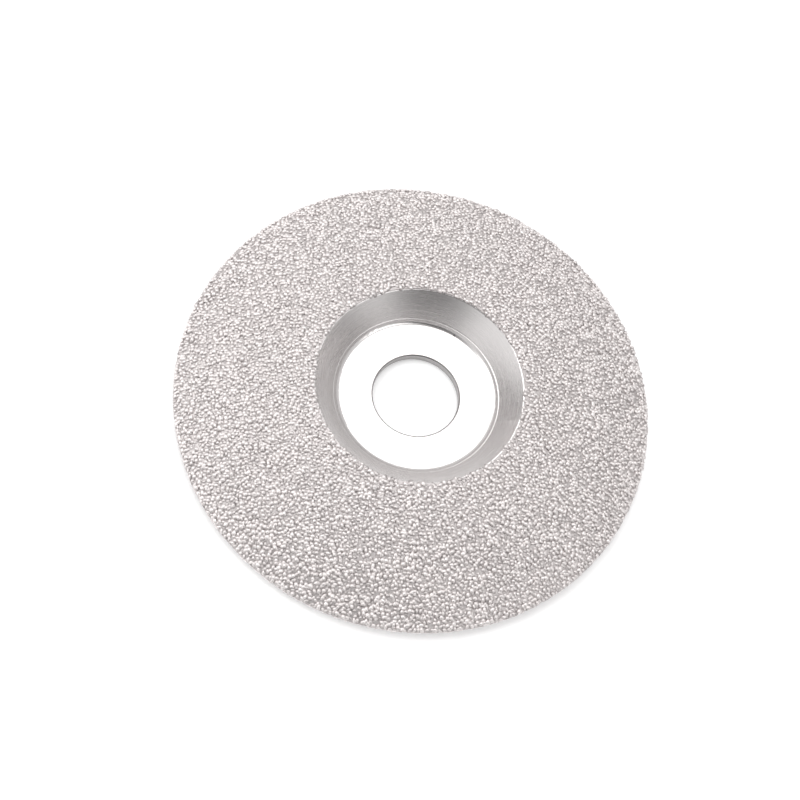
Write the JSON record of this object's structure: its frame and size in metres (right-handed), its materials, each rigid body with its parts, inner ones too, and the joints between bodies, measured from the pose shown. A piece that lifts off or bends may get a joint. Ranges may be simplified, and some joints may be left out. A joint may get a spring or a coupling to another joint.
{
  "type": "diamond grinding wheel",
  "caption": "Dished steel grinding wheel with a brazed diamond coat on its domed face and a bare recessed hub with a plain centre bore.",
  "frame": {"origin": "on the bore axis, in the plane of the hub's flat back face, which the wheel lies on", "axes": "+Z along the bore axis, from the hub's back face towards the diamond-coated working face; X and Y are equal by symmetry"},
  "size_m": [0.1096, 0.1094, 0.0099],
  "materials": {
    "turned_steel": "pressed steel plate, finely turned on its bare faces",
    "braze_alloy": "matt nickel braze, as frozen",
    "brazed_diamond": "blunt diamond crystals with a bright nickel skin"
  },
  "bodies": {
    "root": {"steel_core": "turned_steel", "braze_bond": "braze_alloy", "diamond_band_1": "brazed_diamond", "diamond_band_2": "brazed_diamond", "diamond_band_3": "brazed_diamond", "diamond_band_4": "brazed_diamond", "diamond_band_5": "brazed_diamond", "diamond_band_6": "brazed_diamond", "diamond_edge": "brazed_diamond"}
  },
  "joints": []
}
